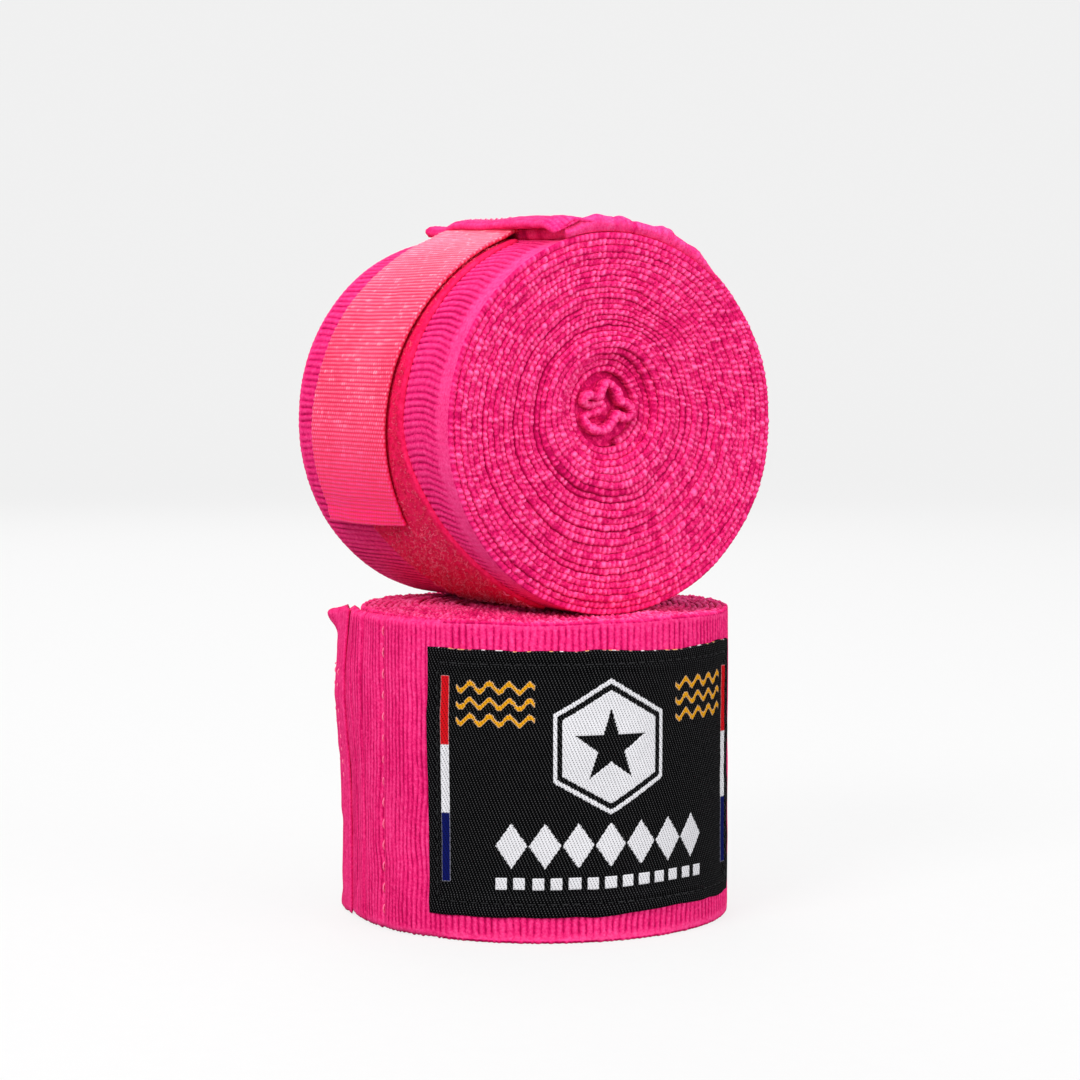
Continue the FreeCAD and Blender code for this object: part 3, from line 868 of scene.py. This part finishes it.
def tape_piece(name, roll, a_high, a_low, replaces, tip=False):
    """A length of tape and its hooks."""
    cell_length = 0.74
    count = int(abs(a_high - a_low) * math.pi / 180 * TAPE_R / 0.15)
    angle, z = grid(np.linspace(a_high, a_low, count), np.linspace(TAPE_Z0, TAPE_Z1, 108))
    along = np.radians(180.0 - angle) * TAPE_R
    phase = (along + 0.04 * noise(along * 1.3, z / 2.5, 2.0)) / 0.68
    rib = ridge(phase, 0.8)
    cell = wave(z / cell_length + 0.5 * np.floor(phase))
    inside = inset(z, TAPE_Z0, TAPE_Z1, 0.55)
    lip = rounding(inside)
    if tip:
        lip = np.maximum(lip, rounding(np.clip((angle - a_low) / 0.9, 0, 1)))
    base = TAPE_MID_R + 0.45 * rise(angle, 176.0, 183.0)
    # the cut end lifts a little, and the tape is not quite flat
    lift = (0.16 * noise(along / 11.0, z / 8.0, 6.0)
            + 0.45 * fall(angle, 76.0, 82.0) * rise(z, 17, 27))
    outer = base + lift + 0.19 * (rib * (0.35 + 0.65 * cell)) - 0.10 * lip
    inner = base + lift - 0.60 + 0.30 * lip
    shift = 0.09 * noise(along / 1.2, 1.0, 4.0) * (1 - inside) + skew(angle)
    glint = noise(np.floor(phase) * 1.7, np.floor(z / cell_length) * 0.9, 12.0)
    glint = np.clip(glint - 0.45, 0, 1)
    near_tip = fall(angle, 77.0, 126.0)
    shade = (0.02 + 0.86 * rib * (0.30 + 0.70 * cell)
             + 2.4 * glint * rib * cell * (1 - 0.8 * near_tip)
             + 0.10 * noise(along / 14.0, z / 9.0, 3.3) + 0.10 * near_tip)
    colour = np.stack([1.0 + 0.12 * near_tip, 1 - 0.93 * near_tip, 1 - 0.34 * near_tip], -1)
    tape = curved_sheet(name, roll, angle, outer, inner, z + shift, BACK_X, shade=shade,
                        colour=colour, material=tape_mat, slot="hook_tape", replaces=replaces)
    return tape, tape_hooks(name + "_hooks", roll, a_high, a_low)


def hook_tape(roll):
    """Six lengths, and the tip that rides on the last body."""
    half, bend = TAPE_STEP / 2, 7.5
    chain = [f"{roll}_band_end_b"] + [f"{roll}_tape_{k + 1}" for k in range(TAPE_PARTS)]
    for k in range(TAPE_PARTS):
        pivot = TAPE_HINGE - TAPE_STEP * k
        high = pivot + half
        replaces = [f"{roll}_hook_tape_{k + 1}"]
        if k == 0:
            high = 191.0 if roll == "upper" else 184.0
            replaces.append(f"{roll}_hook_tape_root")
        for piece in tape_piece(f"{roll}_hook_tape_part_{k + 1}", roll, high, pivot - half,
                                replaces):
            world_point(roll, TAPE_R, pivot + bend, BACK_X, TAPE_MID)
            world_point(roll, TAPE_R, pivot - bend, BACK_X, TAPE_MID)
            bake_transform(piece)
    for piece in tape_piece(f"{roll}_hook_tape_tip", roll, pivot - half, pivot - TAPE_STEP,
                            [f"{roll}_hook_tape_{TAPE_PARTS}"], tip=True):
        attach(piece, chain[-1])


# ------------------------------------------------------------------ loop patch
def patch_low(angle):
    """The patch's lower edge along the roll: it drifts towards z = 0."""
    return 14.2 - 8.0 * rise(112.0 - angle, 0.0, 62.0)


def loop_pile(roll):
    """Small curled loops of thread on the patch, sparse and low under the tape."""
    random = np.random.default_rng(91 if roll == "upper" else 92)
    t = np.linspace(0, 1, 5)
    paths, shades = [], []
    for _ in range(6000):
        angle = random.uniform(35.5, 176.0)
        z = float(patch_low(angle)) + random.uniform(0.7, PATCH_W - 0.7)
        under = angle > 75.5 and z > TAPE_Z0 - 0.2 + float(skew(angle))
        if under and random.random() < 0.55:
            continue
        size = random.uniform(0.12, 0.34) * (0.8 if under else 1.0)
        curl = t * math.pi * random.uniform(1.0, 1.7)
        heading = random.uniform(0, 2 * math.pi)
        aside = size * (1 - np.cos(curl)) * 0.9
        up = size * np.sin(curl) * random.uniform(0.8, 1.2) + (0.0 if under else 0.12)
        radius = BACK_R + 0.58 + np.clip(up, -0.1, 0.22 if under else 0.6)
        turn = math.radians(angle) + aside * math.cos(heading) / radius
        path_z = z + aside * math.sin(heading) + 0.1 * np.sin(t * 9)
        paths.append(polar(radius, turn, path_z, BACK_X))
        # painted highlights on some fibres, most of them on the pile torn up past the tape's
        # end, which catches the light
        chance = 0.14 + (0.30 if angle < 76 else 0.0) * math.exp(-((z - 19) / 9.0) ** 2)
        shades.append(0.95 if random.random() < chance else 0.5)
    tubes(f"{roll}_loop_pile_fibres", roll, paths, radius=0.025, sides=3, shade=shades,
          colour=(1.0, 1.0, 1.0), material=pile_mat, slot="loop_pile", body=f"{roll}_roll")


def loop_patch(roll):
    angle, across = grid(np.linspace(PATCH_A1, PATCH_A0, 420), np.linspace(0.0, PATCH_W, 80))
    z = across + patch_low(angle)
    along = np.radians(180 - angle) * BACK_R
    margin = np.minimum(np.minimum(across, PATCH_W - across), (angle - PATCH_A0) * 0.52)
    inside = np.clip(margin / 0.8, 0, 1)
    outer = (BACK_R + 0.62 - 0.45 * rounding(inside)
             + 0.05 * noise(along / 0.5, z / 0.5, 3.0))
    edge_z = z + 0.12 * noise(along / 5, 2.0, 1.0) * (1 - inside)
    shade = 0.42 + 0.1 * noise(along / 0.8, z / 0.8, 7.0) + 0.08 * (inside < 0.6)
    curved_sheet(f"{roll}_loop_patch_base", roll, angle, outer, BACK_R + 0.03, edge_z, BACK_X,
                 shade=shade, material=patch_mat, slot="loop_pile", body=f"{roll}_roll",
                 replaces=[f"{roll}_loop_patch"])
    loop_pile(roll)
    radius = BACK_R + 0.74
    a0, a1, z0, z1 = PATCH_SEAM_A0, PATCH_SEAM_A1, PATCH_SEAM_Z0, PATCH_SEAM_Z1
    lines = [arc_line(radius, a0, a1, z0, z0, BACK_X, 20),
             arc_line(radius, a0, a1, z1, z1, BACK_X, 20),
             arc_line(radius, a0, a0, z0, z1, BACK_X)]
    stitches(f"{roll}_loop_patch_seam", roll, lines, f"{roll}_roll",
             f"{roll}_loop_patch_stitching", length=1.5, gap=0.8, radius=0.12)


# ------------------------------------------------------------------ label
def motif(u, v):
    """The woven pattern: mask 0..1 and colour. u runs left to right and v upwards, in
    mm from the label's lower left corner. Plain shapes only."""
    top = LABEL_H - v
    white, gold, red, blue = (np.array(srgb(*levels)[:3]) for levels in (
        (236, 236, 240), (236, 164, 20), (214, 20, 30), (14, 22, 92)))
    mask = np.zeros_like(u)
    colours = np.zeros(u.shape + (3,)) + white

    def paint(where, colour):
        mask[where] = 1.0
        colours[where] = colour

    # two three-colour stripes near the ends
    for centre in (3.35, LABEL_W - 3.35):
        for k, colour in enumerate((red, white, blue)):
            paint((np.abs(u - centre) < 0.76) & (top > 4.1 + 10.6 * k)
                  & (top < 4.1 + 10.6 * (k + 1)), colour)
    # six-sided badge with a five-pointed star left dark in the middle
    middle = LABEL_W / 2
    x, y = u - middle, -(top - 14.8)
    badge = np.maximum.reduce([np.abs(x), np.abs(0.5 * x + 0.866 * y),
                               np.abs(0.5 * x - 0.866 * y)])
    paint((badge < 9.1) & (badge > 8.45), white)
    paint(badge < 7.6, white)
    fifth = math.pi / 5
    from_point = np.abs(((np.arctan2(x, y) + fifth) % (2 * fifth)) - fifth)
    star = 5.4 * math.cos(fifth * 2) / np.cos(fifth * 2 - from_point)
    mask[np.hypot(x, y) < star * 1.1] = 0.0
    # a row of plain diamonds and a row of small squares below it
    for k in range(7):
        centre = middle + (k - 3) * 5.15
        paint(np.abs(u - centre) / 2.45 + np.abs(top - 29.9) / 3.5 < 1, white)
    for k in range(13):
        centre = middle + (k - 6) * 2.85
        paint((np.abs(u - centre) < 0.9) & (np.abs(top - 35.7) < 0.9), white)
    # gold waved lines on both sides of the badge
    for left, right in ((5.2, 17.6), (LABEL_W - 17.6, LABEL_W - 5.2)):
        for level in (5.6, 8.1, 10.6):
            line = level + 0.62 * np.sin(2 * math.pi * (u - left) / 3.1)
            paint((u > left) & (u < right) & (np.abs(top - line) < 0.42), gold)
    # loose ends of the pattern threads along the upper fold
    pick = noise(np.floor(u / 0.55), 3.0, 5.0)
    for low, high, colour in ((0.30, 0.55, white), (0.55, 0.75, gold), (0.75, 1.1, red)):
        paint((top < 0.09) & (pick > low) & (pick < high) & (u > 2), colour)
    return mask, colours


def label(roll):
    angle, z = grid(np.linspace(LABEL_A0, LABEL_A1, 300), np.linspace(LABEL_Z0, LABEL_Z1, 206))
    u = np.radians(angle - LABEL_A0) * ROLL_R
    v = z - LABEL_Z0
    mask, colour = motif(u, v)
    margin = np.minimum(np.minimum(u, u.max() - u), np.minimum(v, v.max() - v))
    lip = rounding(np.clip(margin / 0.45, 0, 1))
    fold = 0.20 * fall(margin, 2.6, 3.4)
    dent = -0.20 * bell(margin, LABEL_SEAM, 0.35)
    pucker = (0.07 * noise(u / 2.2, v / 2.2, 4.0) * fall(margin, 2.0, 6.0)
              + 0.06 * noise(u / 9, v / 9, 1.0))
    outer = ROLL_R + 0.42 + fold + dent + pucker + 0.07 * mask - 0.36 * lip
    outer = np.maximum(outer, ROLL_R + 0.22)
    # the borders wander a little
    half_w, half_h = LABEL_W / 2, LABEL_H / 2
    shift_z = ((0.16 * noise(u / 3.0, 5.0, 2.0) + 0.35 * noise(u / 14.0, 1.0, 7.0))
               * (np.abs(v - half_h) / half_h) ** 3 * np.sign(v - half_h))
    shift_angle = (np.degrees(0.3 * noise(v / 6.0, 3.0, 4.0) / ROLL_R)
                   * (np.abs(u - half_w) / half_w) ** 5)
    curved_sheet(f"{roll}_woven_label", roll, angle + shift_angle, outer, ROLL_R + 0.10,
                 z + shift_z, shade=mask, colour=colour, uv=np.stack([u, v], -1),
                 material=label_mat, slot="label", body=f"{roll}_roll",
                 replaces=[f"{roll}_label"])
    radius = ROLL_R + 0.50
    inward = math.degrees(LABEL_SEAM / ROLL_R)
    a0, a1 = LABEL_A0 + inward, LABEL_A1 - inward
    z0, z1 = LABEL_Z0 + LABEL_SEAM, LABEL_Z1 - LABEL_SEAM
    lines = [arc_line(radius, a0, a1, level, level, count=120) for level in (z0, z1)]
    lines += [arc_line(radius, side, side, z0, z1) for side in (a0, a1)]
    stitches(f"{roll}_label_seam", roll, lines, f"{roll}_roll", f"{roll}_label_stitching",
             length=1.25, gap=0.55, radius=0.11, material=black_thread, slot="label_thread")


# ------------------------------------------------------------------ thumb loop in the core
# the loop's edge as it lies crumpled in the core: right and up, before scaling
LOOP_KNOTS = np.array([
    (0.0, 4.0), (1.9, 2.6), (2.7, 0.8), (4.3, 0.2), (5.0, -1.2),
    (3.9, -2.2), (2.0, -1.7), (1.1, -2.8), (0.0, -3.9), (-1.8, -4.3),
    (-3.9, -3.4), (-4.5, -1.9), (-2.8, -1.35), (-0.9, -0.6), (-1.2, 0.45),
    (-3.2, 0.1), (-4.7, 0.9), (-4.0, 1.95), (-1.7, 1.5), (-0.95, 2.8)])
LOOP_SEED = {"lower": 1.3, "upper": 4.1}


def smooth_closed(knots, steps):
    """A smooth closed curve through the knots."""
    points = []
    for k in range(len(knots)):
        p0, p1, p2, p3 = (knots[(k + d) % len(knots)] for d in (-1, 0, 1, 2))
        for q in np.linspace(0, 1, steps, endpoint=False):
            points.append(0.5 * (2 * p1 + (p2 - p0) * q + (2 * p0 - 5 * p1 + 4 * p2 - p3) * q * q
                                 + (3 * p1 - p0 - 3 * p2 + p3) * q ** 3))
    return np.array(points)


def loop_folds(roll):
    """The crumpled edge: a wall with rounded ends along the closed curve."""
    seed, half = LOOP_SEED[roll], 0.70
    knots = LOOP_KNOTS * 0.90
    if roll == "lower":
        knots = knots[:, ::-1] * (-0.95, 0.95)
    right, up = smooth_closed(knots, 26).T
    cosine, sine = math.cos(FACE_RIGHT), math.sin(FACE_RIGHT)
    x = cosine * right + sine * up
    y = sine * right - cosine * up
    dx = np.roll(x, -1) - np.roll(x, 1)
    dy = np.roll(y, -1) - np.roll(y, 1)
    length = np.hypot(dx, dy)
    along = np.concatenate([[0], np.cumsum(np.hypot(np.diff(x), np.diff(y)))])[:, None]
    x, y, normal_x, normal_y = (v[:, None] for v in (x, y, dy / length, -dx / length))
    arc = np.linspace(0, math.pi, 11)
    across, drop = np.cos(arc) * half, -half + half * np.sin(arc)
    offset = np.concatenate([across, across[::-1]])
    z = np.concatenate([WIDTH + drop, -drop[::-1]])
    way = np.repeat([1.0, -1.0], len(arc))
    bumps = wave((along + 0.3 * noise(along, 1.0, 2.0)) / 1.0)
    lift = 0.25 + 0.75 * noise(x / 3.0 + seed, y / 3.0, 2.0)
    z = z + way * (0.07 * (bumps - 0.5) + lift)
    if roll == "lower":
        z = np.where(way < 0, np.maximum(z, 0.3), z)
    wide = 1 + 0.08 * (bumps - 0.5) + 0.15 * noise(along / 1.3, 6.0, 1.0)
    points = np.stack([x + normal_x * offset * wide, y + normal_y * offset * wide, z], -1)
    corner = np.arange(z.size).reshape(z.shape)
    following = np.roll(corner, -1, 0)
    quads = np.stack([corner, following, np.roll(following, -1, 1), np.roll(corner, -1, 1)], -1)
    crown = (1 - np.abs(offset) / 0.71) ** 0.7
    shade = 0.18 + 0.16 * bumps + 0.38 * crown + 0.10 * noise(x / 0.7, y / 0.7, 5.0)
    make(f"{roll}_thumb_loop_folds", roll, drifted(roll, points).reshape(-1, 3),
         [quads.reshape(-1, 4)], shade=shade, material=edge_mat, slot="band",
         body=f"{roll}_roll", replaces=[f"{roll}_thumb_loop"])


def loop_bunch(roll):
    """The rest of the loop's cloth, bunched up inside and round the folds."""
    rows, columns = 44, 150
    t = np.linspace(0, 1, rows)
    radius, angle = grid(CORE_R * (np.minimum(t, 1 - t) / 0.5) ** 0.8,
                         np.linspace(0, 2 * math.pi, columns, endpoint=False))
    radius = radius * np.where(angle < math.pi, 5.92 + 0.5 * np.cos(angle), 5.42) / CORE_R
    x, y = radius * np.cos(angle), radius * np.sin(angle)
    height = (-1.35 + 0.30 * noise(x / 2.0, y / 2.0, LOOP_SEED[roll] + 4)
              + 0.10 * np.cos(radius * 6.0) - 0.9 * hollow(roll, angle) * rise(radius, 1.0, 4.5))
    z = np.where((t < 0.5)[:, None], np.maximum(0.4, -height), WIDTH + height)
    shade = 0.16 + 0.20 * noise(x * 1.6, y * 1.6, 3.0) - 0.10 * hollow(roll, angle)
    make(f"{roll}_thumb_loop_bunch", roll,
         drifted(roll, np.stack([x, y, z], -1)).reshape(-1, 3),
         [loop_quads(rows, columns)[:, ::-1]], shade=shade, material=edge_mat, slot="band",
         body=f"{roll}_roll", replaces=[f"{roll}_thumb_loop"])


def thumb_loop(roll):
    loop_folds(roll)
    loop_bunch(roll)
    # bar tack that closes the loop: dense threads across the seam
    core_x, core_y = CORE_SHIFT[roll]
    t = np.linspace(-1, 1, 6)
    paths = [np.stack([core_x + t * 0.9, core_y + 3.75 - 0.15 * (1 - t ** 2), z + 0 * t], -1)
             for z in np.arange(18.4, 31.8, 0.45)]
    tubes(f"{roll}_thumb_loop_tack", roll, paths, radius=0.16, sides=5, shade=0.5,
          material=thread_mat, slot="thread", body=f"{roll}_roll",
          replaces=[f"{roll}_thumb_loop_bartack"])


for build in (wound_band, free_end, hook_tape, loop_patch, label, thumb_loop):
    for roll_name in ("lower", "upper"):
        build(roll_name)


# ------------------------------------------------------------------ stage, light, camera (m)
def stage_material():
    """Paper that looks pale to the camera but sends little light to the rolls."""
    material, nodes, bsdf = new_material("studio_paper")
    grain = nodes.noise(nodes.position(), 300.0, detail=3.0)
    seen = nodes.add("LightPath").outputs["Is Camera Ray"]
    paper = nodes.mix(grain, (0.10, 0.10, 0.10, 1.0), (0.11, 0.11, 0.11, 1.0))
    nodes.inputs(bsdf, {
        "Base Color": nodes.mix(seen, (0.34, 0.34, 0.34, 1.0), paper),
        "Emission Strength": nodes.math("MULTIPLY", seen, 0.80),
        "Roughness": 0.9,
        "Specular IOR Level": 0.1,
        "Emission Color": (1, 1, 1, 1)})
    return material


def studio():
    """Floor that curves up into a wall behind the rolls."""
    half_width, bend_y, bend_r = 4.0, 1.2, 0.6
    profile = [(-3.0, 0.0)] + [(y, 0.0) for y in np.linspace(-1.5, bend_y, 6)]
    profile += [(bend_y + bend_r * math.sin(t), bend_r - bend_r * math.cos(t))
                for t in np.linspace(0.15, math.pi / 2, 10)]
    profile += [(bend_y + bend_r, 3.0)]
    points = [(x, y, z) for y, z in profile for x in (-half_width, half_width)]
    faces = [(2 * k, 2 * k + 1, 2 * k + 3, 2 * k + 2) for k in range(len(profile) - 1)]
    mesh = bpy.data.meshes.new("studio_floor")
    mesh.from_pydata(points, [], faces)
    mesh.polygons.foreach_set("use_smooth", [True] * len(mesh.polygons))
    mesh.update()
    floor = bpy.data.objects.new("studio_floor", mesh)
    bpy.context.scene.collection.objects.link(floor)
    mesh.materials.append(stage_material())


def area_light(name, location, size, energy):
    """A square light aimed at the middle of the rolls."""
    light = bpy.data.lights.new(name, "AREA")
    light.shape = "SQUARE"
    light.size = size
    light.energy = energy
    obj = bpy.data.objects.new(name, light)
    obj.location = location
    aim = Vector((0, 0, 0.05)) - Vector(location)
    obj.rotation_euler = aim.to_track_quat("-Z", "Y").to_euler()
    bpy.context.scene.collection.objects.link(obj)


def studio_world():
    world = bpy.data.worlds.new("studio_world")
    bpy.context.scene.world = world
    world.use_nodes = True
    nodes = Nodes(world.node_tree)
    # past the floor's edge a camera ray sees the same pale tone as the floor
    seen = nodes.add("LightPath").outputs["Is Camera Ray"]
    nodes.inputs(world.node_tree.nodes["Background"], {
        "Color": (0.97, 0.97, 0.98, 1),
        "Strength": nodes.math("MULTIPLY_ADD", seen, 0.38, 0.56)})


def camera():
    pitch_down = 3.95
    data = bpy.data.cameras.new("camera")
    data.sensor_fit = "HORIZONTAL"
    data.sensor_width = 36.0
    data.lens = 100.0
    data.clip_start = 0.01
    obj = bpy.data.objects.new("camera", data)
    obj.location = (-0.0002, -0.488, 0.0942)
    obj.rotation_euler = (math.radians(90 - pitch_down), 0, 0)
    bpy.context.scene.collection.objects.link(obj)
    bpy.context.scene.camera = obj


studio()
area_light("key", (-0.5, -0.75, 0.75), size=0.45, energy=9.8)
area_light("fill", (0.75, -0.6, 0.35), size=0.6, energy=5.4)
area_light("top", (0.0, 0.1, 1.0), size=0.7, energy=5.0)
area_light("rear", (-0.2, 0.9, 0.6), size=0.6, energy=3.0)
studio_world()
camera()

view = bpy.context.scene.view_settings
view.view_transform = "Standard"
view.look = "None"
view.exposure = 0.0
view.gamma = 1.0
